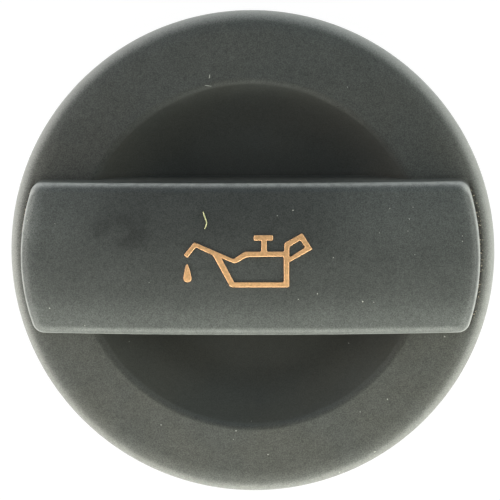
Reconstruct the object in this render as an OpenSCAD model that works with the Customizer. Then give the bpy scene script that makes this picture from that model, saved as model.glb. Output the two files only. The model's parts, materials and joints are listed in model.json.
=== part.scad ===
// Oil filler cap for a quarter-turn filler neck, in millimetres.
// A moulded cover carries a full-width crossbar over a bowl-shaped finger recess.
// A bayonet plug snaps into the cover from below, and a sealing ring sits on its stem.
// The cap stands on the foot of the plug: +Z points up to the crossbar, +X runs along it.

/* [Cover] */
// Widest diameter of the cover
cap_d = 66; // [62:1:74]
// Height of the skirt below the widest plane
skirt_h = 12; // [9:0.5:15]
// How far the skirt draws in down to its lower edge
skirt_draft = 0.8; // [0.3:0.1:1.5]
// Wall thickness of the cover
wall = 2.2; // [1.8:0.1:2.6]
// Radius of the rounded rim
edge_r = 2; // [1.4:0.1:2.6]
// Slope of the land between the rim and the finger recess, in degrees
land_slope = 9; // [5:1:13]

/* [Finger recess] */
// Width of the land, from the widest circle in to the crest of the lip
land_w = 8.5; // [7:0.25:10]
// Width of the wall of the recess, from the crest in to the flat floor
bowl_w = 8.5; // [7:0.25:11]
// Depth of the floor below the crest
recess_depth = 4.5; // [3:0.25:5.5]
// Radius of the rounded lip
lip_r = 1.2; // [0.8:0.1:2.8]

/* [Crossbar] */
// Width of the crossbar
bar_w = 20.4; // [16:0.2:24]
// Distance from the ends of the bar to the widest circle of the cover
bar_inset = 2.1; // [1.6:0.1:4]
// Height of the ends of the bar above the widest plane
bar_rise = 7.8; // [6:0.2:11]
// How much higher the middle of the bar is than its ends
bar_crown = 2.4; // [1.2:0.1:3]
// How much the top of the bar falls from its centre line to its long edges
bar_camber = 1.5; // [0.8:0.1:1.8]
// Radius of the long edges of the bar
bar_edge_r = 1.3; // [0.9:0.1:1.8]
// Radius of the edges at the two ends of the bar
end_edge_r = 1.8; // [1.3:0.1:2.4]
// Radius of the corners of the bar, seen from above
bar_corner_r = 2; // [1:0.1:2.5]
// How much wider each side of the bar is at its root
bar_draft = 0.25; // [0.1:0.05:0.4]
// Wall thickness of the hollow bar
bar_wall = 2.2; // [1.8:0.1:2.6]

/* [Inside of the cover] */
// Thickness of the stiffening ribs
rib_t = 1.4; // [1:0.1:1.8]
// How far the ribs under the rim reach below the underside of the floor
rib_drop = 1; // [0.5:0.25:2]
// Distance of the inner pair of bar ribs from the middle
bar_rib_x = 8; // [5:0.5:12]
// Wall thickness of the ring that takes the plug
ring_wall = 2; // [1.6:0.1:2.4]
// How far the ring reaches below the flange of the plug
ring_drop = 2; // [1.8:0.1:2.6]
// Angle that each snap bead covers, in degrees
snap_span = 24; // [16:1:30]
// How far each snap bead reaches under the flange
snap_reach = 0.7; // [0.4:0.1:1]
// Width of the slots beside the snap beads
slot_w = 1.6; // [1:0.1:2.2]

/* [Bayonet plug] */
// Distance from the widest circle of the cover in to the flange
flange_inset = 12; // [10:0.5:14]
// Distance from the edge of the flange in to the stem
stem_inset = 5; // [4:0.25:6]
// Wall thickness of the stem
stem_wall = 2; // [1.6:0.1:2.6]
// Length of the stem below the flange
stem_len = 15.5; // [14:0.5:18]
// Thickness of the flange
flange_t = 2.4; // [2:0.1:3]
// Height of the web cross inside the stem
cross_h = 4; // [2:0.5:6]
// Thickness of the webs of the cross
cross_t = 1.6; // [1.2:0.1:2.2]
// Height of the drive key above the flange
key_h = 4.5; // [3:0.25:5]
// Distance from the edge of the flange in to the ends of the drive key
key_inset = 4; // [3:0.5:8]
// Wall thickness of the drive key
key_wall = 2; // [1.6:0.1:2.6]

/* [Bayonet lugs] */
// How far a lug stands out of the stem
lug_reach = 3.5; // [2.5:0.25:4]
// Thickness of a lug
lug_t = 3.5; // [2.8:0.1:4.2]
// Height of the underside of the lugs above the foot
lug_z = 1.5; // [1:0.25:2.5]
// Angle that a lug covers, in degrees
lug_span = 50; // [36:1:60]
// How far the ramp falls at the leading end of a lug
ramp_drop = 1.2; // [0.6:0.1:1.6]
// Angle that the stop behind a lug covers, in degrees
stop_span = 9; // [6:1:12]
// Height of the stop above the lug
stop_h = 3; // [2:0.25:3.5]

/* [Sealing ring] */
// Distance from the edge of the flange in to the sealing ring
seal_inset = 1.1; // [0.6:0.1:2]
// Thickness of the sealing ring
seal_t = 3; // [2.4:0.1:3.4]
// Depth of the groove between the two sealing lands
seal_groove = 0.7; // [0.4:0.1:1]
// How far the bead on the stem stands out below the sealing ring
bead_reach = 0.5; // [0.3:0.1:0.7]

/* [Fits] */
// Gap between the flange and the ring, and between the drive key and the bar
plug_gap = 0.15; // [0.1:0.05:0.3]
// Gap between the snap beads and the underside of the flange
snap_gap = 0.1; // [0.05:0.05:0.2]
// Gap between the sealing ring and the stem
seal_gap = 0.1; // [0.05:0.05:0.2]

/* [Hidden] */
$fn = 96;

eps = 1;                // how far a cut runs past the face that it opens
snap_angles = [45, 135, 225, 315];
rim_rib_angles = [25, 65, 90, 115, 155];
chamfer = 0.5;          // broken edges of the skirt, the stem and the seal
bead_h = 1.2;           // height of the snap beads and of the bead on the stem
arc_steps = 8;          // flats in a quarter round of a profile
meet_angle = 8;         // angle at which the end rounding leaves the top of the bar
roll_span = 60;         // angle that an end rounding covers, wider than the bar
min_edge_r = 0.3;       // smallest radius of an edge inside the bar
slip = 0.05;            // how far a rounding cut starts off the face that it meets
stop_inset = 1.5;       // angle between the end of a lug and its stop
seam_turn = 50;         // turn of the round forms, which keeps their seams off the bar

// Radii, from the widest circle of the cover inwards
cap_r = cap_d / 2;
crest_r = cap_r - land_w;
floor_r = crest_r - bowl_w;
flange_r = cap_r - flange_inset;
ring_r = flange_r + plug_gap;
seal_r = flange_r - seal_inset;
stem_r = flange_r - stem_inset;
lug_r = stem_r + lug_reach;

// Heights, from the foot of the plug up
seat_z = stem_len + flange_t;
floor_z = seat_z + wall;
crest_z = floor_z + recess_depth;
shoulder_r = cap_r - edge_r * (1 - sin(land_slope));
land_fall = (shoulder_r - crest_r - lip_r * sin(land_slope)) * tan(land_slope);
shoulder_z = crest_z - lip_r * (1 - cos(land_slope)) - land_fall;
rim_z = shoulder_z - edge_r * cos(land_slope);
skirt_z = rim_z - skirt_h;
bar_end_z = rim_z + bar_rise;
bar_top_z = bar_end_z + bar_crown;

// The bowl turns over the lip and back onto its floor along two arcs that share a tangent
bowl_slope = 2 * atan(recess_depth / (crest_r - floor_r));
bowl_r = (crest_r - floor_r) / sin(bowl_slope) - lip_r;

bar_end_r = cap_r - bar_inset;
crown_r = (bar_end_r * bar_end_r + bar_crown * bar_crown) / (2 * bar_crown);
crown_sweep = 2 * asin((bar_end_r + 2 * eps) / crown_r);

seal_z = stem_len - seal_t;
lug_top_z = lug_z + lug_t;

// Points along an arc of radius r about [x, y], from one angle to another
function arc(x, y, r, from, to, steps) =
    [for (i = [0 : steps]) let (a = from + (to - from) * i / steps) [x + r * cos(a), y + r * sin(a)]];

// Height of the bar's crowned top at a distance x from the middle
function crown_z(x) = bar_top_z - crown_r + sqrt(crown_r * crown_r - x * x);

// Top surface of the cover without its bar, from the skirt's foot to the middle
function top_profile() = concat(
    [[cap_r - skirt_draft - chamfer, skirt_z], [cap_r - skirt_draft, skirt_z + chamfer]],
    arc(cap_r - edge_r, rim_z, edge_r, 0, 90 - land_slope, arc_steps),
    arc(crest_r, crest_z - lip_r, lip_r, 90 - land_slope, 90 + bowl_slope, arc_steps),
    arc(floor_r, floor_z + bowl_r, bowl_r, 270 + bowl_slope * (1 - 1 / arc_steps), 270, arc_steps - 1)
);

// The same surface, a depth t into the wall, from the middle out to the skirt's foot
function under_profile(t) = concat(
    arc(floor_r, floor_z + bowl_r, bowl_r + t, 270, 270 + acos(1 - recess_depth / (bowl_r + t)), arc_steps),
    [
        [cap_r - t - chamfer, shoulder_z - t],
        [cap_r - t, shoulder_z - t - chamfer],
        [cap_r - t - skirt_draft * (skirt_h + eps) / skirt_h, skirt_z - eps]
    ]
);

// Everything that lies under the wall of the cover, a depth t into it
module under_space(t) {
    rotate([0, 0, seam_turn])
        rotate_extrude()
            polygon(concat([[0, skirt_z - eps], [0, floor_z - t]], under_profile(t)));
}

// Cross-section of the bar, a depth t below its surface: height along x, width along y
module bar_section(t) {
    half = bar_w / 2 - t;
    edge = max(bar_edge_r - t, min_edge_r);
    camber_r = (half * half + bar_camber * bar_camber) / (2 * bar_camber);
    tilt = asin((half - edge) / (camber_r - edge));
    camber_x = crown_r - t - camber_r;
    side = concat(
        arc(camber_x, 0, camber_r, tilt / arc_steps, tilt, arc_steps / 2),
        arc(camber_x + (camber_r - edge) * cos(tilt), half - edge, edge,
            tilt + (90 - tilt) / arc_steps, 90, arc_steps - 1),
        [[crown_r - (bar_top_z - seat_z) - 2 * eps, half + bar_draft]]
    );
    polygon(concat(side, [for (i = [len(side) - 1 : -1 : 0]) [side[i][0], -side[i][1]]]));
}

// The bar swept along its crown between its round ends, a depth t below its surface
module bar_sweep(t, foot_z) {
    intersection() {
        translate([0, 0, bar_top_z - crown_r])
            rotate([90, 0, 0])
                rotate([0, 0, 90 - crown_sweep / 2])
                    rotate_extrude(angle = crown_sweep, $fn = 720)
                        bar_section(t);
        translate([0, 0, foot_z])
            rotate([0, 0, 90])
                cylinder(r = bar_end_r - t, h = bar_top_z);
    }
}

// What rolls the two ends of the bar over onto its crowned top
module end_rolls() {
    leave = 90 - asin(bar_end_r / crown_r) - meet_angle;
    reach = leave + meet_angle / 2;
    roll_r = bar_end_r - end_edge_r;
    roll_z = crown_z(roll_r + end_edge_r * cos(leave)) - end_edge_r * sin(leave);
    for (turn = [0, 180])
        rotate([0, 0, turn - roll_span / 2])
            rotate_extrude(angle = roll_span)
                polygon(concat(
                    [[bar_end_r + eps, roll_z - slip], [bar_end_r + slip, roll_z - slip]],
                    arc(roll_r, roll_z, end_edge_r, reach / arc_steps, reach, arc_steps - 1),
                    [[roll_r + end_edge_r * cos(reach), bar_top_z + eps], [bar_end_r + eps, bar_top_z + eps]]
                ));
}

// What rounds the four corners of the bar off, seen from above
module corner_rounds() {
    r = bar_corner_r;
    y = bar_w / 2 + bar_draft - r;
    x = sqrt(pow(bar_end_r - r + slip, 2) - y * y);
    turn = atan2(y, x);
    for (mx = [0, 1], my = [0, 1])
        mirror([mx, 0, 0])
            mirror([0, my, 0])
                translate([0, 0, seat_z])
                    linear_extrude(bar_top_z)
                        polygon(concat(
                            [[x - r / 4, y + r + slip]],
                            arc(x, y, r, 90, turn, arc_steps),
                            [[bar_end_r + eps, y], [bar_end_r + eps, y + r + eps], [x - r / 4, y + r + eps]]
                        ));
}

// The bar as a solid, from inside the floor of the cover up
module crossbar() {
    difference() {
        bar_sweep(0, floor_z - wall / 2);
        corner_rounds();
        end_rolls();
    }
}

// Stiffening ribs between the ring and the skirt
module rim_ribs() {
    for (side = [0, 180], a = rim_rib_angles)
        rotate([0, 0, side + a])
            translate([ring_r + ring_wall / 2, -rib_t / 2, seat_z - rib_drop])
                cube([cap_r - ring_r, rib_t, crest_z - seat_z]);
}

// Ribs across the hollow of the bar, above the drive key
module bar_ribs() {
    foot_z = seat_z + key_h + eps / 2;
    for (x = [-1, 1] * bar_rib_x)
        translate([x - rib_t / 2, -bar_w / 2, foot_z])
            cube([rib_t, bar_w, bar_top_z - foot_z]);
}

// Ring under the floor, slotted into fingers, with a snap bead on each
module plug_ring() {
    foot_z = stem_len - ring_drop;
    difference() {
        intersection() {
            translate([0, 0, foot_z])
                difference() {
                    cylinder(r = ring_r + ring_wall, h = crest_z - foot_z);
                    translate([0, 0, -eps])
                        cylinder(r = ring_r, h = crest_z);
                }
            under_space(wall / 2);
        }
        for (a = snap_angles, side = [-1, 1])
            rotate([0, 0, a + side * (snap_span / 2 + asin(slot_w / 2 / ring_r))])
                translate([flange_r - eps, -slot_w / 2, foot_z - eps])
                    cube([ring_wall + 3 * eps, slot_w, seat_z - foot_z]);
    }
    for (a = snap_angles)
        rotate([0, 0, a - snap_span / 2])
            rotate_extrude(angle = snap_span)
                translate([0, stem_len - snap_gap - bead_h])
                    polygon([
                        [ring_r + ring_wall / 4, 0],
                        [ring_r + ring_wall / 4, bead_h],
                        [ring_r - snap_reach, bead_h],
                        [ring_r - snap_reach, bead_h * 0.6],
                        [ring_r, 0]
                    ]);
}

module grip_cover() {
    color([0.16, 0.17, 0.16]) {
        difference() {
            union() {
                rotate([0, 0, seam_turn])
                    rotate_extrude()
                        polygon(concat([[0, skirt_z]], top_profile(), [[0, floor_z]]));
                crossbar();
            }
            under_space(wall);
            bar_sweep(bar_wall, seat_z - eps);
        }
        plug_ring();
        intersection() {
            rim_ribs();
            under_space(wall / 2);
        }
        intersection() {
            bar_ribs();
            bar_sweep(bar_wall / 2, seat_z);
        }
    }
}

// One lug with its ramp and stop, centred on +X
module lug() {
    ramp_angle = atan(ramp_drop / (lug_r * sin(lug_span / 2)));
    difference() {
        rotate([0, 0, -lug_span / 2])
            rotate_extrude(angle = lug_span)
                translate([0, lug_z])
                    polygon([
                        [stem_r - stem_wall / 2, 0],
                        [lug_r - 2 * chamfer, 0],
                        [lug_r, 2 * chamfer],
                        [lug_r, lug_t],
                        [stem_r - stem_wall / 2, lug_t]
                    ]);
        translate([0, 0, lug_top_z])
            rotate([ramp_angle, 0, 0])
                translate([stem_r, -lug_r, 0])
                    cube([lug_r, lug_r, lug_t]);
    }
    rotate([0, 0, lug_span / 2 - stop_inset - stop_span])
        rotate_extrude(angle = stop_span)
            translate([stem_r - stem_wall / 2, lug_top_z - chamfer])
                square([lug_r - stem_r + stem_wall / 2 - chamfer, stop_h + chamfer]);
}

// Open rectangular key that carries the torque from the bar to the plug
module drive_key() {
    key_w = bar_w - 2 * bar_wall - 2 * plug_gap;
    key_len = 2 * (flange_r - key_inset);
    translate([-key_len / 2, -key_w / 2, seat_z - flange_t / 2])
        difference() {
            cube([key_len, key_w, key_h + flange_t / 2]);
            translate([key_wall, key_wall, flange_t / 2])
                cube([key_len - 2 * key_wall, key_w - 2 * key_wall, key_h + eps]);
        }
}

module bayonet_plug() {
    inner_r = stem_r - stem_wall;
    bead_z = seal_z - seal_gap - bead_h;
    color([0.2, 0.2, 0.2]) {
        rotate_extrude()
            polygon([
                [inner_r, 0],
                [stem_r - 2 * chamfer, 0],
                [stem_r, 2 * chamfer],
                [stem_r, bead_z],
                [stem_r + bead_reach, bead_z + bead_h / 2],
                [stem_r + bead_reach, bead_z + bead_h],
                [stem_r, bead_z + bead_h],
                [stem_r, stem_len],
                [flange_r - chamfer, stem_len],
                [flange_r, stem_len + chamfer],
                [flange_r, seat_z - chamfer],
                [flange_r - chamfer, seat_z],
                [0, seat_z],
                [0, stem_len],
                [inner_r, stem_len]
            ]);
        for (turn = [0, 180])
            rotate([0, 0, turn])
                lug();
        for (turn = [45, 135])
            rotate([0, 0, turn])
                translate([-inner_r - stem_wall / 2, -cross_t / 2, stem_len - cross_h])
                    cube([2 * inner_r + stem_wall, cross_t, cross_h + flange_t / 2]);
        drive_key();
    }
}

module sealing_ring() {
    inner_r = stem_r + seal_gap;
    land = (seal_r - inner_r) / 4;
    color([0.09, 0.09, 0.09])
        rotate_extrude()
            translate([0, seal_z])
                polygon([
                    [inner_r, chamfer],
                    [inner_r + chamfer, 0],
                    [inner_r + land + chamfer / 2, 0],
                    [(inner_r + seal_r) / 2, seal_groove],
                    [seal_r - land - chamfer / 2, 0],
                    [seal_r - chamfer, 0],
                    [seal_r, chamfer],
                    [seal_r, seal_t],
                    [inner_r, seal_t]
                ]);
}

grip_cover();
bayonet_plug();
sealing_ring();
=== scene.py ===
"""Looks of a quarter-turn oil filler cap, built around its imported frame."""

import json
from math import acos, asin, atan, atan2, cos, pi, radians, sin, sqrt, tan

import bmesh
import bpy
from bpy.props import FloatProperty, FloatVectorProperty, PointerProperty
from mathutils import Matrix, Vector


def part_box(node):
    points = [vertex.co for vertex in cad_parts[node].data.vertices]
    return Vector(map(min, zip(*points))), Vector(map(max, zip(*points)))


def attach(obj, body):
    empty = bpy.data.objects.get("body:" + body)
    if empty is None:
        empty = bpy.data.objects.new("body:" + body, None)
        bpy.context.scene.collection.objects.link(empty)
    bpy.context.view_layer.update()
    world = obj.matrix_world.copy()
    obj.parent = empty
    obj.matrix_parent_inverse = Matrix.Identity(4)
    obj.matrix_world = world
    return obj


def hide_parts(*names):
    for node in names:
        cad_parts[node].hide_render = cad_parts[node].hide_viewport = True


bl_info = {
    "name": "Oil Filler Cap",
    "version": (1, 0, 0),
    "blender": (4, 5, 0),
    "location": "3D View > Sidebar > Filler Cap",
    "description": "Models and dresses a quarter-turn oil filler cap around its frame",
    "category": "Mesh",
}

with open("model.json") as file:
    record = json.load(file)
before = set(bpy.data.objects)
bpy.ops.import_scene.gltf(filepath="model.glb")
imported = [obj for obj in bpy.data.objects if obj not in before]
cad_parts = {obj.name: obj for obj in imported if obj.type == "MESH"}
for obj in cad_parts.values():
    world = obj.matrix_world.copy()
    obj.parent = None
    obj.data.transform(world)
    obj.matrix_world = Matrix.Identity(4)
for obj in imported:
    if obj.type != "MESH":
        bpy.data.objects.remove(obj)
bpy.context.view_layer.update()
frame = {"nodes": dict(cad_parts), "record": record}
cover_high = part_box("grip_cover")[1]

MM = 0.001
SPOKES = 216  # steps of a full turn
EPS = 1 * MM  # how far a cut runs past the face that it opens
SAME = 1e-7  # points nearer than this are one while a piece is drawn
WELD = 0.001 * MM  # points nearer than this are one once it is cut
RIM_RIB_ANGLES = (25, 65, 90, 115, 155)
SNAP_ANGLES = (45, 135, 225, 315)

# Oil can sign, in millimetres from the middle of the bar: corners, and how far each is rounded
CAN_OUTLINE = (
    (-8.58, 0.91, 0.15), (-7.17, 2.60, 0.1), (-1.94, 0.34, 0.2), (-0.48, 1.34, 0.3), (1.79, 1.34, 0.25),
    (1.79, 2.85, 0.05), (0.79, 2.85, 0.12), (0.79, 3.53, 0.12), (3.31, 3.53, 0.12), (3.31, 2.85, 0.12),
    (2.47, 2.85, 0.05), (2.47, 1.34, 0.25), (4.84, 1.34, 0.25), (4.84, 2.47, 0.2), (7.20, 3.77, 0.15),
    (8.53, 1.67, 0.12), (5.43, -0.08, 0.1), (5.43, -3.44, 0.2), (-2.38, -3.44, 0.3), (-4.69, 0.91, 0.3),
    (-6.96, 1.94, 0.1), (-8.11, 0.56, 0.15),
)
CAN_BODY_HOLE = (
    (-3.59, 0.51, 0.1), (-1.72, -0.22, 0.25), (-0.19, 0.66, 0.3), (4.76, 0.72, 0.25), (4.76, -2.76, 0.25),
    (-1.90, -2.76, 0.1),
)
CAN_HANDLE_HOLE = (
    (5.47, 1.99, 0.15), (6.98, 2.89, 0.25), (7.62, 1.90, 0.2), (5.64, 0.62, 0.15), (5.47, 0.73, 0.05),
)
DROP_TIP = (-8.15, -0.34)
DROP_CENTRE = (-8.13, -2.23)
DROP_R = 0.54
DROP_TAPER = 0.45  # share of its width that the drop loses up to its tip
SIGN_SINK = 0.3 * MM  # how deep the sign reaches into the bar

# Grains of dust on the cover, in millimetres: place, length and width, and turn in degrees
GRAINS = (
    (5.98, 6.79, 0.21, 0.11, 12), (3.88, 6.08, 0.13, 0.11, 43), (21.40, 5.52, 0.23, 0.13, 114),
    (18.83, 6.89, 0.13, 0.11, 150), (21.92, 7.04, 0.11, 0.09, 33), (17.43, 3.74, 0.12, 0.10, 136),
    (21.23, 3.90, 0.13, 0.11, 138), (22.14, 0.78, 0.12, 0.10, 92), (11.31, 0.48, 0.14, 0.09, 28),
    (9.19, -4.37, 0.19, 0.09, 90), (6.63, -5.12, 0.16, 0.09, 136), (15.19, -5.48, 0.25, 0.17, 118),
    (16.66, -5.61, 0.15, 0.12, 132), (28.48, 3.14, 0.14, 0.12, 110), (28.47, 2.43, 0.17, 0.10, 123),
    (26.20, -11.25, 0.23, 0.12, 136), (13.14, -12.67, 0.11, 0.09, 80), (-26.00, 4.96, 0.11, 0.08, 174),
    (-29.80, 5.26, 0.25, 0.21, 101), (-26.92, -6.57, 0.17, 0.14, 121), (-22.21, -8.90, 0.21, 0.10, 45),
    (-16.95, -12.25, 0.12, 0.10, 45), (-13.29, -2.86, 0.15, 0.08, 35), (13.17, 22.68, 0.19, 0.09, 90),
    (2.12, -27.51, 0.21, 0.16, 53), (18.44, -19.82, 0.20, 0.11, 123), (16.67, -27.25, 0.36, 0.29, 160),
    (-12.48, -23.37, 0.20, 0.17, 125), (-2.59, -25.35, 0.16, 0.13, 74), (-2.20, -24.11, 0.15, 0.13, 129),
    (-0.11, -22.91, 0.13, 0.07, 43), (14.71, -21.55, 0.18, 0.10, 59), (-0.05, 10.12, 0.25, 0.18, 147),
    (-5.37, 24.24, 0.60, 0.10, 80), (-5.55, 22.98, 0.90, 0.12, 172), (11.85, -30.20, 0.28, 0.22, 30),
)
DARK_GRAINS = ((11.89, 20.11, 0.17, 0.14, 20),)
GRAIN_UNEVENNESS = 0.25  # share by which the outline of a grain varies
GRAIN_FLATNESS = 0.8  # height of a grain as a share of its width

# Thread on the bar, in millimetres: the places that it runs through, and its width
THREAD = ((-6.0, 6.62), (-5.85, 6.2), (-5.7, 5.76), (-5.55, 5.4), (-5.5, 5.12), (-5.6, 4.75), (-5.8, 4.36))
THREAD_WIDTH = 0.15

PALE_GRAIN = (0.5, 0.5, 0.46)
DARK_GRAIN = (0.012, 0.011, 0.01)
THREAD_FIBRE = (0.8, 0.78, 0.42)

# Marks of use on the cover, and the light and shade painted on it: their colours
DUST_AND_PAINTED_LIGHT = (0.1, 0.096, 0.08, 1)
RIM_HIGHLIGHT = (0.4, 0.4, 0.38, 1)
EDGE_HIGHLIGHT = (0.42, 0.425, 0.41, 1)
RECESS_SHADE = (0.02, 0.019, 0.016, 1)
GRIME_AND_SHADE = (0.018, 0.014, 0.01, 1)
CRUMBS = (0.3, 0.25, 0.18, 1)

# Light of the studio: axis and side that it comes from, tint, and strength at each height, where 0 is the
# horizon and 1 overhead. A colour ramp holds no more than 1, so the strengths are shares of SKY_TOP in it.
SKY_STOPS = (0, 0.2, 0.4, 0.6, 0.8, 0.9)
SKY_TOP = 9
SKY = (
    ("Y", -1, (0.969, 1.0, 0.903), (8.59, 8.16, 4.45, 0.35, 0, 0)),
    ("Y", 1, (0.593, 1.0, 1.343), (0.61, 0, 0.35, 0.39, 0.18, 0.03)),
    ("X", -1, (1.027, 1.0, 0.954), (4.67, 4.19, 1.85, 0.38, 0.31, 0.06)),
    ("X", 1, (0.969, 1.0, 0.927), (3.64, 3.53, 2.02, 0.71, 0.43, 0.2)),
)


def slot_colour(slot):
    """The base colour that the record gives a material slot."""
    for material in frame["record"]["materials"]:
        if material["slot"] == slot:
            return tuple(material["base_color"][:3])
    raise RuntimeError("the record has no slot " + slot)


def length(name, description, millimetres):
    return FloatProperty(name=name, description=description, default=millimetres * MM, unit="LENGTH",
                         precision=5)


def rotation(name, description, degrees):
    return FloatProperty(name=name, description=description, default=radians(degrees), unit="ROTATION")


def fraction(name, description, share):
    return FloatProperty(name=name, description=description, default=share, min=0, max=1, subtype="FACTOR")


def colour(name, description, rgb):
    return FloatVectorProperty(name=name, description=description, default=rgb, subtype="COLOR", min=0, max=1)


class CapCoverSizes(bpy.types.PropertyGroup):
    skirt_h: length("Skirt height", "Height of the skirt below the widest plane", 12)
    skirt_draft: length("Skirt draft", "How far the skirt draws in down to its lower edge", 0.8)
    wall: length("Wall", "Wall thickness of the cover", 2.2)
    edge_r: length("Rim radius", "Radius of the rounded rim", 2)
    land_slope: rotation("Land slope", "How far the land round the recess falls to the rim", 9)
    blend_slope: rotation("Blend slope", "Slope at which the land's rounding meets the rim's", 24)
    blend_r: length("Blend radius", "Radius of the rounding between the land and the rim", 8)
    land_w: length("Land width", "Width of the land, from the widest circle in to the crest of the lip", 9)
    bowl_w: length("Bowl width", "Width of the wall of the recess, from the crest in to the flat floor", 8.2)
    recess_depth: length("Recess depth", "Depth of the floor below the crest", 4.5)
    lip_r: length("Lip radius", "Radius of the rounded lip", 1.2)
    bar_w: length("Bar width", "Width of the crossbar", 20.4)
    bar_inset: length("Bar inset", "Distance from the ends of the bar to the widest circle", 2.1)
    bar_rise: length("Bar rise", "Height of the ends of the bar above the widest plane", 7.8)
    bar_crown: length("Bar crown", "How much higher the middle of the bar is than its ends", 2.4)
    bar_camber: length("Bar camber", "How much the top of the bar falls to its long edges", 1.5)
    bar_edge_r: length("Bar edge radius", "Radius of the edges of the bar", 1.15)
    tip_w: length("Tip width", "Width of the strip at the ends of the bar that rolls over further", 2.3)
    tip_fall: length("Tip fall", "How far that strip falls", 0.45)
    bar_corner_r: length("Bar corner radius", "Radius of the corners of the bar, seen from above", 1.6)
    bar_draft: length("Bar draft", "How much wider each side of the bar is at its root", 0.25)
    bar_wall: length("Bar wall", "Wall thickness of the hollow bar", 2.2)
    rib_t: length("Rib thickness", "Thickness of the stiffening ribs", 1.4)
    rib_drop: length("Rib drop", "How far the rim ribs reach below the underside of the floor", 1)
    bar_rib_x: length("Bar rib place", "Distance of the bar ribs from the middle", 8)
    bar_rib_gap: length("Bar rib height", "Height of the foot of the bar ribs above the flange", 5)
    ring_r: length("Ring radius", "Inner radius of the ring that takes the plug", 21.15)
    ring_wall: length("Ring wall", "Wall thickness of that ring", 2)
    ring_foot: length("Ring foot", "Height of the lower edge of that ring", 13.5)
    snap_span: rotation("Snap span", "Angle that each snap bead covers", 24)
    snap_reach: length("Snap reach", "How far each snap bead reaches under the flange", 0.7)
    snap_top: length("Snap top", "Height of the upper face of the snap beads", 15.4)
    snap_h: length("Snap height", "Height of the snap beads", 1.2)
    slot_w: length("Slot width", "Width of the slots beside the snap beads", 1.6)


class CapFinishes(bpy.types.PropertyGroup):
    cover_nylon: colour("Cover nylon", "Colour of the cover", slot_colour("cover_nylon"))
    plug_nylon: colour("Plug nylon", "Colour of the bayonet plug", slot_colour("plug_nylon"))
    seal_rubber: colour("Seal rubber", "Colour of the sealing ring", slot_colour("seal_rubber"))
    foil: colour("Sign foil", "Colour of the foil on the oil can sign", (0.9, 0.505, 0.245))
    cover_roughness: fraction("Cover roughness", "Roughness of the cover's moulded surface", 0.5)
    sign_height: length("Sign height", "How far the oil can sign stands out of the bar", 0.14)
    sign_bevel: length("Sign bevel", "Width of the slope along the edges of the sign", 0.07)


class CapStageSettings(bpy.types.PropertyGroup):
    distance: FloatProperty(name="Camera distance", description="Distance of the camera from the rim",
                            default=0.4, unit="LENGTH")
    lean_y: rotation("Lean across the bar", "How far the camera leans to +Y", 6.9)
    lean_x: rotation("Lean along the bar", "How far the camera leans to +X", 2.9)
    roll: rotation("Camera roll", "Turn of the picture", -0.1)
    view_width: FloatProperty(name="View width", description="What the picture spans at the rim",
                              default=0.06822, unit="LENGTH")
    aim_x: length("Aim along the bar", "Where the camera looks, from the middle of the cap", -0.26)
    aim_y: length("Aim across the bar", "Where the camera looks, from the middle of the cap", 0.34)
    sky_strength: FloatProperty(name="Sky strength", description="Strength of the studio's light",
                                default=1.03, min=0)
    shadow_share: fraction("Shadow share", "How much of the cap's shadow the paper shows", 0.15)


class Form:
    """Radii and heights of the cover that follow from its sizes."""

    def __init__(self, s):
        self.cap_r = cover_high.x
        self.crest_r = self.cap_r - s.land_w
        self.floor_r = self.crest_r - s.bowl_w
        self.shoulder_r = self.cap_r - s.edge_r * (1 - sin(s.land_slope))
        self.bar_top_z = cover_high.z
        self.rim_z = self.bar_top_z - s.bar_crown - s.bar_rise
        self.shoulder_z = self.rim_z + s.edge_r * cos(s.land_slope)
        land = self.shoulder_r - self.crest_r - s.lip_r * sin(s.land_slope)
        self.crest_z = self.shoulder_z + land * tan(s.land_slope) + s.lip_r * (1 - cos(s.land_slope))
        self.floor_z = self.crest_z - s.recess_depth
        self.seat_z = self.floor_z - s.wall
        self.skirt_z = self.rim_z - s.skirt_h
        self.blend_start_r = (self.cap_r - s.edge_r * (1 - sin(s.blend_slope))
                              - s.blend_r * (sin(s.blend_slope) - sin(s.land_slope)))
        blend_start_z = self.shoulder_z + (self.shoulder_r - self.blend_start_r) * tan(s.land_slope)
        self.blend_z = blend_start_z - s.blend_r * cos(s.land_slope)
        self.round_z = self.blend_z + (s.blend_r - s.edge_r) * cos(s.blend_slope)
        self.bowl_slope = 2 * atan(s.recess_depth / (self.crest_r - self.floor_r))
        self.bowl_r = (self.crest_r - self.floor_r) / sin(self.bowl_slope) - s.lip_r
        self.bar_end_r = self.cap_r - s.bar_inset
        self.crown_r = (self.bar_end_r ** 2 + s.bar_crown ** 2) / (2 * s.bar_crown)
        self.camber_r = ((s.bar_w / 2) ** 2 + s.bar_camber ** 2) / (2 * s.bar_camber)
        self.tip_w, self.tip_fall = s.tip_w, s.tip_fall

    def fall(self, x, y):
        """How far the top of the bar lies below its highest point."""
        tip = max(0, 1 - (self.bar_end_r - sqrt(x * x + y * y)) / self.tip_w)
        crown = self.crown_r - sqrt(self.crown_r ** 2 - x * x)
        camber = self.camber_r - sqrt(self.camber_r ** 2 - y * y)
        return crown + camber + self.tip_fall * tip * tip


def line(bm, tip, place):
    """Draws a straight edge from the vertex tip and returns its far end."""
    far = bmesh.ops.extrude_vert_indiv(bm, verts=[tip])["verts"][0]
    far.co = place
    return far


def spin(bm, geom, angle, count, centre=(0, 0, 0), axis=(0, 0, 1), merge=False):
    """Spins what was drawn about an axis in a number of steps and returns where it ends."""
    spun = bmesh.ops.spin(bm, geom=geom, cent=centre, axis=axis, dvec=(0, 0, 0), angle=angle, steps=count,
                          use_merge=merge, use_normal_flip=False, use_duplicate=False)
    return spun["geom_last"]


def arc(bm, tip, centre, axis, angle, count):
    """Draws an arc about a centre from the vertex tip and returns its far end."""
    return spin(bm, [tip], angle, count, centre, axis)[0]


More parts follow.
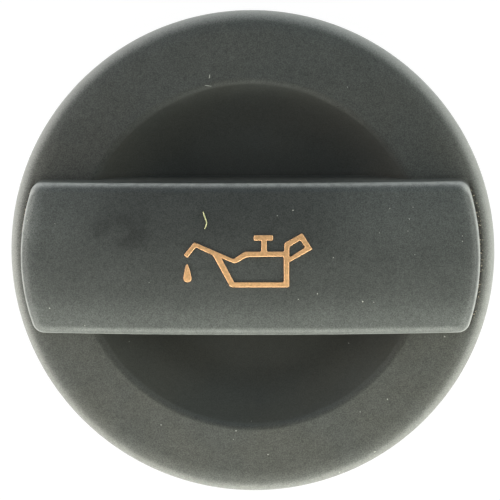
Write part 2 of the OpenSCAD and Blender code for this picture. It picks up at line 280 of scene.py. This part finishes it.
def revolve(bm):
    """Spins all that was drawn once round the cap's axis."""
    spin(bm, bm.verts[:] + bm.edges[:], 2 * pi, SPOKES, merge=True)
    bmesh.ops.remove_doubles(bm, verts=bm.verts, dist=SAME)
    bmesh.ops.recalc_face_normals(bm, faces=bm.faces)


def only(kind, geom):
    """The vertices or the faces among what an operator returned."""
    return [g for g in geom if isinstance(g, kind)]


def once(geom):
    """A list without repeats, in the order in which they came."""
    return list(dict.fromkeys(geom))


def steps(reach, step, start=0):
    """Even steps from a start to a reach, on both sides of the middle."""
    out = [start + i * step for i in range(int((reach - start) / step) + 1)]
    return sorted({-place for place in out} | set(out))


def cut(bm, faces, axis, places):
    """Cuts faces across an axis at each of the places."""
    normal = Vector((axis == "X", axis == "Y", 0))
    for place in places:
        geom = once(g for face in faces for g in (face, *face.verts, *face.edges))
        halves = bmesh.ops.bisect_plane(bm, geom=geom, dist=SAME, plane_co=normal * place, plane_no=normal)
        faces = only(bmesh.types.BMFace, halves["geom"])


def block(bm, size, place, turn=0):
    """Adds a box of that size about a place, then turns it about the cap's axis by degrees."""
    matrix = Matrix.Rotation(radians(turn), 4, "Z") @ Matrix.Translation(place) @ Matrix.Diagonal((*size, 1))
    bmesh.ops.create_cube(bm, size=1, matrix=matrix)


def add_piece(name, bm):
    """Makes an object of a finished bmesh."""
    mesh = bpy.data.meshes.new(name)
    bm.to_mesh(mesh)
    bm.free()
    piece = bpy.data.objects.new(name, mesh)
    bpy.context.scene.collection.objects.link(piece)
    return piece


def combine(target, tool, operation):
    """Joins, cuts or intersects a solid with another, which is used up."""
    modifier = target.modifiers.new("combine", "BOOLEAN")
    modifier.operation = operation
    modifier.solver = "MANIFOLD"
    modifier.object = tool
    evaluated = target.evaluated_get(bpy.context.evaluated_depsgraph_get())
    mesh = bpy.data.meshes.new_from_object(evaluated)
    target.modifiers.clear()
    target.data = mesh
    bpy.data.objects.remove(tool)
    if not mesh.polygons:
        raise RuntimeError("nothing is left of " + target.name)


def weld(piece):
    """Merges the points that the cuts left on top of each other."""
    bm = bmesh.new()
    bm.from_mesh(piece.data)
    bmesh.ops.remove_doubles(bm, verts=bm.verts, dist=WELD)
    bmesh.ops.dissolve_degenerate(bm, dist=WELD, edges=bm.edges)
    if any(not edge.is_manifold for edge in bm.edges):
        raise RuntimeError(piece.name + " isn't closed")
    bm.to_mesh(piece.data)
    bm.free()


def smooth(piece, angle=30):
    """Shades a piece smooth up to an angle between its faces."""
    piece.data.shade_smooth()
    piece.data.set_sharp_from_angle(angle=radians(angle))


def disc(s, f):
    """The cover as a full disc: recess, lip, domed ring, rim and skirt."""
    bm = bmesh.new()
    y_axis = (0, 1, 0)
    tip = bm.verts.new((0, 0, f.floor_z))
    tip = line(bm, tip, (f.floor_r - EPS, 0, f.floor_z))
    tip = line(bm, tip, (f.floor_r, 0, f.floor_z))
    tip = arc(bm, tip, (f.floor_r, 0, f.floor_z + f.bowl_r), y_axis, -f.bowl_slope, 18)
    tip = arc(bm, tip, (f.crest_r, 0, f.crest_z - s.lip_r), y_axis, f.bowl_slope + s.land_slope, 18)
    tip = line(bm, tip, (f.blend_start_r, 0, f.blend_z + s.blend_r * cos(s.land_slope)))
    blend_x = f.blend_start_r - s.blend_r * sin(s.land_slope)
    tip = arc(bm, tip, (blend_x, 0, f.blend_z), y_axis, s.blend_slope - s.land_slope, 8)
    tip = arc(bm, tip, (f.cap_r - s.edge_r, 0, f.round_z), y_axis, pi / 2 - s.blend_slope, 16)
    near = 0.1  # how far down the skirt a point keeps its shading apart from the rim's
    foot_round = 0.5 * MM
    low = f.skirt_z + foot_round
    inward = f.cap_r - s.skirt_draft
    tip = line(bm, tip, (f.cap_r - s.skirt_draft * near, 0, f.rim_z - s.skirt_h * near))
    tip = line(bm, tip, (inward, 0, low))
    tip = arc(bm, tip, (inward - foot_round, 0, low), y_axis, pi / 2, 6)
    line(bm, tip, (0, 0, f.skirt_z))
    revolve(bm)
    return add_piece("cover_shell", bm)


def under_space(s, f, depth):
    """All that lies under the wall of the cover, a depth into it."""
    bm = bmesh.new()
    bowl_out = f.bowl_r + depth
    corner = 0.5 * MM
    tip = bm.verts.new((0, 0, f.floor_z - depth))
    tip = line(bm, tip, (f.floor_r - EPS, 0, f.floor_z - depth))
    tip = line(bm, tip, (f.floor_r, 0, f.floor_z - depth))
    bowl_turn = acos(1 - s.recess_depth / bowl_out)
    tip = arc(bm, tip, (f.floor_r, 0, f.floor_z + f.bowl_r), (0, 1, 0), -bowl_turn, 14)
    tip = line(bm, tip, (f.cap_r - depth - corner, 0, f.shoulder_z - depth))
    tip = line(bm, tip, (f.cap_r - depth, 0, f.shoulder_z - depth - corner))
    draw_in = s.skirt_draft * (s.skirt_h + EPS) / s.skirt_h
    tip = line(bm, tip, (f.cap_r - depth - draw_in, 0, f.skirt_z - EPS))
    line(bm, tip, (0, 0, f.skirt_z - EPS))
    revolve(bm)
    return add_piece("under_space", bm)


def bar_block(s, f, depth, foot_z, corner_r, edge_r, rounding):
    """The crossbar a depth below its surface: drawn from above, raised, rounded and bent to its crown."""
    bm = bmesh.new()
    half = s.bar_w / 2 - depth
    end_r = f.bar_end_r - depth
    y = half - corner_r
    x = sqrt((end_r - corner_r) ** 2 - y * y)
    turn = atan2(y, x)
    z_axis = (0, 0, 1)
    tip = bm.verts.new((0, half, foot_z))
    tip = line(bm, tip, (x, half, foot_z))
    tip = arc(bm, tip, (x, y, foot_z), z_axis, turn - pi / 2, 9)
    arc(bm, tip, (0, 0, foot_z), z_axis, -turn, 16)
    for axis in "XY":
        bmesh.ops.mirror(bm, geom=bm.verts[:] + bm.edges[:], matrix=Matrix(), merge_dist=SAME, axis=axis)
    bmesh.ops.contextual_create(bm, geom=bm.edges[:])
    raised = bmesh.ops.extrude_face_region(bm, geom=bm.faces[:])["geom"]
    top_z = f.bar_top_z - depth
    bmesh.ops.translate(bm, verts=only(bmesh.types.BMVert, raised), vec=(0, 0, top_z - foot_z))
    top = only(bmesh.types.BMFace, raised)[0]
    bmesh.ops.bevel(bm, geom=top.edges[:], offset=edge_r, offset_type="OFFSET", segments=rounding,
                    profile=0.5, affect="EDGES", clamp_overlap=True, material=-1)
    # faces small enough to follow the crown, the camber and the ends that roll over
    tip_start = f.bar_end_r - s.tip_w
    cut(bm, bm.faces[:], "X", steps(tip_start, 2 * MM) + steps(f.bar_end_r, 0.4 * MM, tip_start))
    flat_top = [face for face in bm.faces if all(v.co.z > top_z - SAME for v in face.verts)]
    cut(bm, flat_top, "Y", steps(half - edge_r, 1.5 * MM))
    foot_spread = 1 + s.bar_draft * (top_z - foot_z) / (top_z - f.seat_z + 2 * EPS) / half
    for v in bm.verts:
        if v.co.z < foot_z + SAME:
            v.co.y *= foot_spread
        else:
            v.co.z -= f.fall(v.co.x, v.co.y)
    bmesh.ops.recalc_face_normals(bm, faces=bm.faces)
    return add_piece("bar", bm)


def plug_ring(s, f):
    """Ring under the floor, slotted into fingers, with a snap bead on each."""
    outer_r = s.ring_r + s.ring_wall
    bm = bmesh.new()
    start = bm.verts.new((s.ring_r, 0, s.ring_foot))
    tip = line(bm, start, (outer_r, 0, s.ring_foot))
    tip = line(bm, tip, (outer_r, 0, f.crest_z))
    tip = line(bm, tip, (s.ring_r, 0, f.crest_z))
    bm.edges.new((tip, start))
    revolve(bm)
    ring = add_piece("plug_ring", bm)

    bm = bmesh.new()
    low, high = s.ring_foot - EPS, f.seat_z - EPS
    for angle in SNAP_ANGLES:
        for side in (-1, 1):
            turn = angle + side * (s.snap_span / 2 + asin(s.slot_w / 2 / s.ring_r)) * 180 / pi
            block(bm, (s.ring_wall + 2 * EPS, s.slot_w, high - low),
                  (s.ring_r + s.ring_wall / 2, 0, (high + low) / 2), turn)
    combine(ring, add_piece("slots", bm), "DIFFERENCE")

    bm = bmesh.new()
    foot = s.snap_top - s.snap_h
    nose = foot + 0.6 * s.snap_h
    reach_r = s.ring_r - s.snap_reach
    inside = s.ring_r + s.ring_wall / 4
    corners = ((inside, foot), (inside, s.snap_top), (reach_r, s.snap_top), (reach_r, nose), (s.ring_r, foot))
    for angle in SNAP_ANGLES:
        face = bm.faces.new([bm.verts.new((x, 0, z)) for x, z in corners])
        start = Matrix.Rotation(radians(angle) - s.snap_span / 2, 3, "Z")
        bmesh.ops.rotate(bm, verts=face.verts[:], matrix=start)
        spin(bm, [face, *face.verts, *face.edges], s.snap_span, 16)
    bmesh.ops.recalc_face_normals(bm, faces=bm.faces)
    combine(ring, add_piece("snap_beads", bm), "UNION")
    combine(ring, under_space(s, f, s.wall / 2), "INTERSECT")
    return ring


def rim_ribs(s, f):
    """Stiffening ribs between the ring and the skirt."""
    bm = bmesh.new()
    low, high = f.seat_z - s.rib_drop, f.crest_z
    inner, outer = s.ring_r + s.ring_wall / 2, f.cap_r + EPS
    middle = ((outer + inner) / 2, 0, (high + low) / 2)
    for side in (0, 180):
        for angle in RIM_RIB_ANGLES:
            block(bm, (outer - inner, s.rib_t, high - low), middle, side + angle)
    ribs = add_piece("rim_ribs", bm)
    combine(ribs, under_space(s, f, s.wall / 2), "INTERSECT")
    return ribs


def bar_ribs(s, f):
    """Ribs across the hollow of the bar."""
    bm = bmesh.new()
    low, high = f.seat_z + s.bar_rib_gap, f.bar_top_z + EPS
    for x in (-s.bar_rib_x, s.bar_rib_x):
        block(bm, (s.rib_t, s.bar_w + 2 * EPS, high - low), (x, 0, (high + low) / 2))
    ribs = add_piece("bar_ribs", bm)
    inside = bar_block(s, f, s.bar_wall / 2, f.seat_z, corner_r=0.5 * MM, edge_r=0.5 * MM, rounding=3)
    combine(ribs, inside, "INTERSECT")
    return ribs


def rounded_outline(bm, corners):
    """Draws a flat outline whose corners are rounded, given as x, y and the reach of the rounding."""
    verts = [bm.verts.new((x * MM, y * MM, 0)) for x, y, _ in corners]
    bm.faces.new(verts)
    for v, (_, _, reach) in zip(verts, corners):
        bmesh.ops.bevel(bm, geom=[v], offset=reach * MM, offset_type="OFFSET", segments=4, profile=0.5,
                        affect="VERTICES", clamp_overlap=True, material=-1)


def drop_outline(bm):
    """Draws the drop under the spout: a circle whose upper half is drawn out to a tip."""
    x, y, radius = (value * MM for value in (*DROP_CENTRE, DROP_R))
    drawn = bmesh.ops.create_circle(bm, cap_ends=True, segments=32, radius=radius,
                                    matrix=Matrix.Translation((x, y, 0)))["verts"]
    for v in drawn:
        up = max(0, (v.co.y - y) / radius)
        v.co.x = x + (v.co.x - x) * (1 - DROP_TAPER * up) + (DROP_TIP[0] * MM - x) * up
        v.co.y += up * (DROP_TIP[1] * MM - y - radius)


def surface(piece, x, y):
    """The point of a piece below a place given in millimetres, and which way its surface faces there."""
    hit, point, normal, _ = piece.ray_cast((x * MM, y * MM, 1), (0, 0, -1))
    if not hit:
        raise RuntimeError("nothing of " + piece.name + " lies below a grain")
    return point, normal


def grains(name, piece, table):
    """Makes flat, slightly uneven grains that lie on a piece."""
    bm = bmesh.new()
    for x, y, grain_l, grain_w, turn in table:
        point, normal = surface(piece, x, y)
        lying = Vector((0, 0, 1)).rotation_difference(normal).to_matrix().to_4x4()
        place = Matrix.Translation(point) @ lying @ Matrix.Rotation(radians(turn), 4, "Z")
        made = bmesh.ops.create_icosphere(bm, subdivisions=2, radius=0.5, matrix=Matrix())["verts"]
        for v in made:
            uneven = 1 + GRAIN_UNEVENNESS * sin(7 * v.co.x + 9 * x) * cos(6 * v.co.y + 5 * y)
            size = Vector((grain_l * uneven, grain_w * uneven, grain_w * GRAIN_FLATNESS)) * MM
            v.co = place @ (v.co * size)
    return add_piece(name, bm)


def thread(name, piece, line_of_places, width):
    """Makes a thin round thread that lies on a piece, sunk into it a little and thinner at its ends."""
    bm = bmesh.new()
    places = []
    for x, y in line_of_places:
        point, normal = surface(piece, x, y)
        places.append(point + normal * width * 0.4)
    rings = []
    for i, place in enumerate(places):
        last = i in (0, len(places) - 1)
        way = places[min(i + 1, len(places) - 1)] - places[max(i - 1, 0)]
        turn = way.to_track_quat("Z", "Y").to_matrix().to_4x4()
        made = bmesh.ops.create_circle(bm, cap_ends=last, segments=10, radius=width * (0.3 if last else 0.5),
                                       matrix=Matrix.Translation(place) @ turn)["verts"]
        rings.append(once(edge for v in made for edge in v.link_edges))
    for ring, after in zip(rings, rings[1:]):
        bmesh.ops.bridge_loops(bm, edges=ring + after)
    bmesh.ops.recalc_face_normals(bm, faces=bm.faces)
    return add_piece(name, bm)


class Wiring:
    """Adds nodes to a tree; each value that it is given may be a plain one or another node's output."""

    def __init__(self, tree):
        self.tree = tree

    def feed(self, socket, value):
        if isinstance(value, bpy.types.NodeSocket):
            self.tree.links.new(value, socket)
        else:
            socket.default_value = value

    def add(self, kind, inputs, output=0, **settings):
        node = self.tree.nodes.new(kind)
        for name, value in settings.items():
            setattr(node, name, value)
        for socket, value in inputs.items():
            self.feed(node.inputs[socket], value)
        return node.outputs[output]

    def math(self, operation, first, second=0.0, *more):
        """Works out a sum; with more than two values, from the left."""
        out = self.add("ShaderNodeMath", {0: first, 1: second}, operation=operation)
        return self.math(operation, out, *more) if more else out

    def total(self, *values):
        return self.math("ADD", *values)

    def product(self, *values):
        return self.math("MULTIPLY", *values)

    def far(self, value, place=0.0):
        """How far a value is from a place."""
        return self.math("ABSOLUTE", self.math("SUBTRACT", value, place))

    def partly(self, value, share):
        """A factor of which only a share counts: with a share of 0 it is 1."""
        return self.total(self.product(self.math("SUBTRACT", value, 1.0), share), 1.0)

    def spread(self, value, low, high, to_low=0.0, to_high=1.0):
        """Maps a range of a value onto another with soft ends, and holds it beyond."""
        return self.add("ShaderNodeMapRange", {"Value": value, "From Min": low, "From Max": high,
                                               "To Min": to_low, "To Max": to_high},
                        interpolation_type="SMOOTHSTEP")

    def noise(self, place, per_mm, detail=2.0, roughness=0.5):
        """Noise from about 0 to 1, of that many waves to the millimetre."""
        waves = self.add("ShaderNodeTexNoise", {"Vector": place, "Scale": per_mm,
                                                "Detail": detail, "Roughness": roughness})
        return self.spread(waves, 0.28, 0.72)

    def blend(self, share, a, b):
        """Mixes two colours."""
        return self.add("ShaderNodeMix", {0: share, 6: a, 7: b}, 2, data_type="RGBA")

    def shade(self, tint, factor):
        """Makes a colour lighter or darker."""
        return self.add("ShaderNodeVectorMath", {0: tint, "Scale": factor}, operation="SCALE")


def scaled(rgb, factor):
    """A colour made lighter or darker, with its alpha."""
    return (*(min(1, c * factor) for c in rgb), 1)


def new_finish(name):
    """A node material: itself, its wiring, its shader, and its object coordinates in millimetres."""
    finish = bpy.data.materials.new(name)
    finish.use_nodes = True
    wiring = Wiring(finish.node_tree)
    place = wiring.add("ShaderNodeTexCoord", {}, "Object")
    mm = wiring.add("ShaderNodeMapping", {"Vector": place, "Scale": (1 / MM, 1 / MM, 1 / MM)})
    return finish, wiring, finish.node_tree.nodes["Principled BSDF"], mm


def bumped(w, shader, height, distance, strength):
    """Gives a shader a bump of a distance in millimetres."""
    bump = w.add("ShaderNodeBump", {"Height": height, "Distance": distance * MM, "Strength": strength})
    w.feed(shader.inputs["Normal"], bump)


def moulded(name, rgb, roughness, mottle, grain, marks=None):
    """Moulded plastic or rubber: fine spark-eroded grain, mottled colour, uneven gloss, any marks of use and
    painted light and shade.
    """
    finish, w, shader, mm = new_finish(name)
    tint = w.blend(w.noise(mm, 0.2, 3), scaled(rgb, 0.95), scaled(rgb, 1.05))
    gloss = w.spread(w.noise(mm, 0.5, 4, 0.6), 0, 1, roughness * 0.9, roughness * 1.1)
    if marks:
        tint, gloss, mottle = marks(w, mm, tint, gloss, mottle)
    fine, middle = w.noise(mm, 6, 3, 0.7), w.noise(mm, 1.5, 2)
    speckle = w.total(w.product(fine, 1.65), w.product(middle, 0.35))
    w.feed(shader.inputs["Base Color"], w.shade(tint, w.partly(speckle, mottle)))
    w.feed(shader.inputs["Roughness"], gloss)
    bumped(w, shader, w.noise(mm, 6, 3, 0.6), 0.012, grain)
    return finish


def cover_marks_and_light(s, f):
    """The marks of use on the cover and the light and shade painted on it, as a step in the wiring of its
    finish, with lengths in millimetres.
    """
    crest, top = f.crest_z / MM, f.bar_top_z / MM
    crest_r, cap_r, bar_end_r, half = f.crest_r / MM, f.cap_r / MM, f.bar_end_r / MM, s.bar_w / 2 / MM

    def marks(w, mm, tint, gloss, mottle):
        x, y, z = (w.add("ShaderNodeSeparateXYZ", {0: mm}, axis) for axis in "XYZ")
        far_x, far_y = w.far(x), w.far(y)
        out_r = w.math("SQRT", w.total(w.product(x, x), w.product(y, y)))
        low = w.spread(z, crest + 1.4, crest + 0.5)  # 1 on the disc, 0 on the bar
        high = w.spread(low, 1, 0)

        # a darker patch at the left of the bar
        dark_patch = w.product(w.spread(w.far(x, -17), 6, 1.5), high, w.spread(w.far(y, 4), 3.5, 0.8),
                           w.noise(mm, 0.35, 2))
        tint = w.shade(tint, w.spread(dark_patch, 0, 0.7, 1, 0.75))

        # painted light and shade on the bar: its ends and its front, which faces the strongest light, are
        # painted paler than its middle, and the middle of its back darker
        ends = w.total(w.spread(w.far(x, -4), 10, 24), w.product(w.spread(x, -27, -31), 1.8))
        back, front = w.spread(y, 0, 5), w.spread(y, -4, -9)
        back_light_and_shade = w.math("SUBTRACT", w.product(ends, 0.38), 0.12)
        bar_light_and_shade = w.total(0.82, w.product(ends, 0.11), w.product(front, 0.38), w.product(back, back_light_and_shade))
        tint = w.shade(tint, w.partly(bar_light_and_shade, high))

        # dust on the disc, with less of it at the back as painted shade, and the back of the disc painted
        # darker as shade
        dust = w.product(low, w.spread(w.noise(mm, 0.12, 2), 0, 1, 0.25, 0.5), w.spread(y, 12, 26, 1, 0.4))
        tint = w.shade(tint, w.spread(w.product(low, w.spread(y, 14, 26)), 0, 1, 1, 0.93))
        tint = w.blend(dust, tint, DUST_AND_PAINTED_LIGHT)

        # painted highlight round the rim, less of it at the front
        rim = w.product(w.spread(out_r, cap_r - 1.7, cap_r - 0.05), w.spread(z, crest - 5, crest - 3),
                        w.spread(y, -28, 5, 0.5, 1))
        tint = w.blend(w.product(rim, 0.85), tint, RIM_HIGHLIGHT)

        # ragged painted highlight along the edges of the bar, by depth below its bent top, and higher at the
        # back
        bow_x = w.product(x, x, MM / (2 * f.crown_r))
        bow_y = w.product(y, y, MM / (2 * f.camber_r))
        depth = w.total(w.math("SUBTRACT", top, z, bow_x, bow_y), w.spread(y, half - 2, half - 1, 0, 0.4))
        ragged = w.spread(w.noise(mm, 0.9, 4, 0.6), 0.1, 0.7, 0.7, 1)
        edge_highlight = w.product(w.spread(depth, 0.5, 1.1), w.spread(depth, 2.2, 1.4),
                         w.spread(far_y, half + 0.5, half + 0.3), ragged)
        tint = w.blend(w.product(edge_highlight, 0.92), tint, EDGE_HIGHLIGHT)
        gloss = w.math("SUBTRACT", gloss, w.product(edge_highlight, 0.08))

        # painted shade on the ground beside the bar, grime and painted shade in the corner at its foot, and
        # crumbs on the ground at its ends
        away = w.math("MAXIMUM", w.math("SUBTRACT", far_y, half + 0.15), w.math("SUBTRACT", out_r, bar_end_r))
        recess_shade = w.product(low, w.spread(away, 8, 0), w.spread(out_r, 27, 21), 0.4,
                         w.math("MAXIMUM", w.spread(far_x, 16, 8), w.spread(y, 5, -5)))
        tint = w.blend(recess_shade, tint, RECESS_SHADE)
        ground = w.spread(away, 0.02, 0.14)  # 0 on the bar's own wall
        # grime with painted shade, darkest in the corner at the foot of the bar
        grime_and_shade = w.product(low, w.spread(away, 0.75, 0.2), w.spread(w.noise(mm, 1.6, 3), 0, 0.6, 0.6, 1),
                          w.total(w.product(ground, 0.75), 0.25), w.spread(far_y, 9.5, 10.5, 1, 0.2))
        tint = w.blend(grime_and_shade, tint, GRIME_AND_SHADE)
        gloss = w.total(gloss, w.product(grime_and_shade, 0.2))
        crumbs = w.product(low, ground, w.spread(away, 0.7, 0.4), w.spread(out_r, 30.6, 30.9),
                           w.spread(far_y, 9.5, 8), w.spread(w.noise(mm, 3, 1), 0.86, 0.94))
        tint = w.blend(crumbs, tint, CRUMBS)

        # the bowl, and the painted highlights on the rim and the bar's edges, are less mottled
        bowl = w.product(low, w.spread(out_r, crest_r, crest_r - 1))
        even = w.math("MAXIMUM", w.product(bowl, 0.5), w.product(rim, 0.75), w.product(edge_highlight, 0.75))
        return tint, gloss, w.product(w.math("SUBTRACT", 1.0, even), mottle)

    return marks


def foil(name, rgb):
    """Hot-stamped copper foil, slightly uneven."""
    finish, w, shader, mm = new_finish(name)
    tint = w.blend(w.noise(mm, 3, 3), scaled(rgb, 0.88), scaled(rgb, 1.12))
    w.feed(shader.inputs["Base Color"], tint)
    w.feed(shader.inputs["Roughness"], w.spread(w.noise(mm, 1.5, 3), 0, 1, 0.38, 0.5))
    w.feed(shader.inputs["Metallic"], 0.3)
    bumped(w, shader, w.noise(mm, 5, 2), 0.01, 0.3)
    return finish


def powder(name, rgb):
    """Dull matter of a grain or a thread, uneven in colour."""
    finish, w, shader, mm = new_finish(name)
    tint = w.blend(w.noise(mm, 4, 2), scaled(rgb, 0.75), scaled(rgb, 1.25))
    w.feed(shader.inputs["Base Color"], tint)
    w.feed(shader.inputs["Roughness"], w.spread(w.noise(mm, 2, 2), 0, 1, 0.7, 0.9))
    return finish


def paper(name, share):
    """White paper that the camera sees as plain white, but for a share of the object's shadow."""
    finish, w, shader, mm = new_finish(name)
    tint = w.blend(w.noise(mm, 0.02, 3), (0.88, 0.88, 0.88, 1), (0.9, 0.9, 0.9, 1))
    w.feed(shader.inputs["Base Color"], tint)
    w.feed(shader.inputs["Roughness"], 0.9)
    glow = w.add("ShaderNodeEmission", {"Color": (1, 1, 1, 1), "Strength": 1.1})
    seen = w.math("MAXIMUM", *(w.add("ShaderNodeLightPath", {}, f"Is {ray} Ray")
                               for ray in ("Camera", "Glossy", "Transmission")))
    mixed = w.add("ShaderNodeMixShader", {0: w.product(seen, 1 - share), 1: shader.outputs[0], 2: glow})
    w.feed(finish.node_tree.nodes["Material Output"].inputs["Surface"], mixed)
    return finish


def studio_sky(strength):
    """Light that comes low from all round, strongest from the front and bluish from the back."""
    world = bpy.data.worlds.new("studio")
    world.use_nodes = True
    w = Wiring(world.node_tree)
    way = w.add("ShaderNodeTexCoord", {}, "Object")
    x, y, z = (w.add("ShaderNodeSeparateXYZ", {0: way}, axis) for axis in "XYZ")
    flat = w.math("MAXIMUM", w.math("SUBTRACT", 1.0, w.product(z, z)), 1e-6)  # never 0, as it divides
    light = (0, 0, 0)
    for axis, sign, tint, levels in SKY:
        ramp = world.node_tree.nodes.new("ShaderNodeValToRGB")
        w.feed(ramp.inputs[0], z)
        stops = ramp.color_ramp.elements
        for place, level in zip(SKY_STOPS[1:-1], levels[1:-1]):
            stops.new(place)
        for stop, place, level in zip(stops, SKY_STOPS, levels):
            stop.position = place
            stop.color = scaled(tint, level / SKY_TOP)
        side = w.math("MAXIMUM", w.product({"X": x, "Y": y}[axis], sign), 0.0)
        lobe = w.math("DIVIDE", w.product(side, side), flat)
        light = w.add("ShaderNodeVectorMath", {0: light, 1: w.shade(ramp.outputs[0], lobe)}, operation="ADD")
    sky = world.node_tree.nodes["Background"]
    w.feed(sky.inputs["Color"], light)
    w.feed(sky.inputs["Strength"], strength * SKY_TOP)
    return world


def dress(piece, finish):
    """Gives a piece one finish."""
    if not piece.data.materials:
        piece.data.materials.append(finish)
    for slot in piece.material_slots:
        slot.link = "OBJECT"
        slot.material = finish


class CAP_OT_cover(bpy.types.Operator):
    """Models the cover with its crossbar and the ribs and ring underneath"""
    bl_idname = "filler_cap.cover"
    bl_label = "Cover"

    def execute(self, context):
        s = context.scene.cap_cover
        f = Form(s)
        cover = disc(s, f)
        bar = bar_block(s, f, 0, f.floor_z - s.wall / 2, s.bar_corner_r, s.bar_edge_r, rounding=8)
        combine(cover, bar, "UNION")
        combine(cover, under_space(s, f, s.wall), "DIFFERENCE")
        hollow = bar_block(s, f, s.bar_wall, f.seat_z - EPS, corner_r=0.3 * MM, edge_r=0.3 * MM, rounding=3)
        combine(cover, hollow, "DIFFERENCE")
        combine(cover, plug_ring(s, f), "UNION")
        combine(cover, rim_ribs(s, f), "UNION")
        combine(cover, bar_ribs(s, f), "UNION")
        weld(cover)
        smooth(cover)
        finishes = context.scene.cap_finishes
        dress(cover, moulded("cover_nylon", finishes.cover_nylon, finishes.cover_roughness,
                             mottle=0.49, grain=0.35, marks=cover_marks_and_light(s, f)))
        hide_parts("grip_cover")
        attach(cover, "root")
        return {"FINISHED"}


class CAP_OT_sign(bpy.types.Operator):
    """Models the oil can sign that stands out of the crossbar"""
    bl_idname = "filler_cap.sign"
    bl_label = "Oil Can Sign"

    def execute(self, context):
        f = Form(context.scene.cap_cover)
        finishes = context.scene.cap_finishes
        bm = bmesh.new()
        for corners in (CAN_OUTLINE, CAN_BODY_HOLE, CAN_HANDLE_HOLE):
            rounded_outline(bm, corners)
        drop_outline(bm)
        bmesh.ops.delete(bm, geom=bm.faces[:], context="FACES_ONLY")
        bmesh.ops.triangle_fill(bm, use_beauty=True, use_dissolve=False, edges=bm.edges[:], normal=(0, 0, 1))
        # faces small enough to follow the bend of the bar
        cut(bm, bm.faces[:], "X", steps(9 * MM, 1 * MM))
        cut(bm, bm.faces[:], "Y", steps(4 * MM, 1 * MM))
        raised = bmesh.ops.extrude_face_region(bm, geom=bm.faces[:])["geom"]
        bmesh.ops.translate(bm, verts=only(bmesh.types.BMVert, raised),
                            vec=(0, 0, finishes.sign_height / 2 + SIGN_SINK))
        bmesh.ops.inset_region(bm, faces=only(bmesh.types.BMFace, raised), thickness=finishes.sign_bevel,
                               depth=finishes.sign_height / 2, use_even_offset=True)
        bmesh.ops.recalc_face_normals(bm, faces=bm.faces)
        for v in bm.verts:
            v.co.z += f.bar_top_z - f.fall(v.co.x, v.co.y) - SIGN_SINK
        sign = add_piece("oil_can_sign", bm)
        weld(sign)
        smooth(sign, 40)
        dress(sign, foil("sign_foil", finishes.foil))
        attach(sign, "root")
        return {"FINISHED"}


class CAP_OT_dust(bpy.types.Operator):
    """Scatters the grains of dust and the thread that lie on the cover"""
    bl_idname = "filler_cap.dust"
    bl_label = "Dust"

    def execute(self, context):
        cover = bpy.data.objects.get("cover_shell")
        if cover is None:
            raise RuntimeError("the cover is made first")
        context.view_layer.update()
        for piece, finish in (
                (grains("pale_grains", cover, GRAINS), powder("pale_grain", PALE_GRAIN)),
                (grains("dark_grains", cover, DARK_GRAINS), powder("dark_grain", DARK_GRAIN)),
                (thread("thread", cover, THREAD, THREAD_WIDTH * MM), powder("thread_fibre", THREAD_FIBRE))):
            smooth(piece, 60)
            dress(piece, finish)
            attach(piece, "root")
        return {"FINISHED"}


class CAP_OT_plug_and_seal(bpy.types.Operator):
    """Gives the bayonet plug and the sealing ring their finish"""
    bl_idname = "filler_cap.plug_and_seal"
    bl_label = "Plug and Seal"

    def execute(self, context):
        finishes = context.scene.cap_finishes
        for node, slot, rgb, roughness in (("bayonet_plug", "plug_nylon", finishes.plug_nylon, 0.4),
                                           ("sealing_ring", "seal_rubber", finishes.seal_rubber, 0.62)):
            dress(frame["nodes"][node], moulded(slot, rgb, roughness, mottle=0.12, grain=0.2))
        return {"FINISHED"}


class CAP_OT_stage(bpy.types.Operator):
    """Makes the floor, the light and the camera"""
    bl_idname = "filler_cap.stage"
    bl_label = "Stage"

    def execute(self, context):
        scene = context.scene
        s = scene.cap_stage
        scene.view_settings.view_transform = "Standard"

        bm = bmesh.new()
        bmesh.ops.create_grid(bm, x_segments=1, y_segments=1, size=3)
        floor = add_piece("floor", bm)
        dress(floor, paper("floor_paper", s.shadow_share))
        scene.world = studio_sky(s.sky_strength)

        f = Form(scene.cap_cover)
        aim = Vector((s.aim_x, s.aim_y, f.rim_z))
        back = Vector((tan(s.lean_x), tan(s.lean_y), 1)).normalized()
        camera = bpy.data.objects.new("camera", bpy.data.cameras.new("camera"))
        scene.collection.objects.link(camera)
        camera.data.lens = camera.data.sensor_width * s.distance / s.view_width
        camera.data.clip_start, camera.data.clip_end = 0.01, 10
        right = (Vector((1, 0, 0)) - back * back.x).normalized()
        turn = Matrix((right, back.cross(right), back)).transposed() @ Matrix.Rotation(s.roll, 3, "Z")
        camera.matrix_world = Matrix.Translation(aim + back * s.distance) @ turn.to_4x4()
        scene.camera = camera
        return {"FINISHED"}


class CAP_PT_panel(bpy.types.Panel):
    """The steps that make the cap, in their order"""
    bl_idname = "CAP_PT_panel"
    bl_label = "Oil Filler Cap"
    bl_space_type = "VIEW_3D"
    bl_region_type = "UI"
    bl_category = "Filler Cap"

    def draw(self, context):
        for step in STEPS:
            self.layout.operator(step.bl_idname)
        for group in (context.scene.cap_cover, context.scene.cap_finishes, context.scene.cap_stage):
            for name in group.__annotations__:
                self.layout.prop(group, name)


GROUPS = {"cap_cover": CapCoverSizes, "cap_finishes": CapFinishes, "cap_stage": CapStageSettings}
STEPS = (CAP_OT_cover, CAP_OT_sign, CAP_OT_dust, CAP_OT_plug_and_seal, CAP_OT_stage)


def register():
    for group in (*GROUPS.values(), *STEPS, CAP_PT_panel):
        bpy.utils.register_class(group)
    for name, group in GROUPS.items():
        setattr(bpy.types.Scene, name, PointerProperty(type=group))


def unregister():
    for name in GROUPS:
        delattr(bpy.types.Scene, name)
    for group in reversed((*GROUPS.values(), *STEPS, CAP_PT_panel)):
        bpy.utils.unregister_class(group)


def main():
    register()
    bpy.ops.filler_cap.cover()
    bpy.ops.filler_cap.sign()
    bpy.ops.filler_cap.dust()
    bpy.ops.filler_cap.plug_and_seal()
    bpy.ops.filler_cap.stage()


if __name__ == "__main__":
    main()
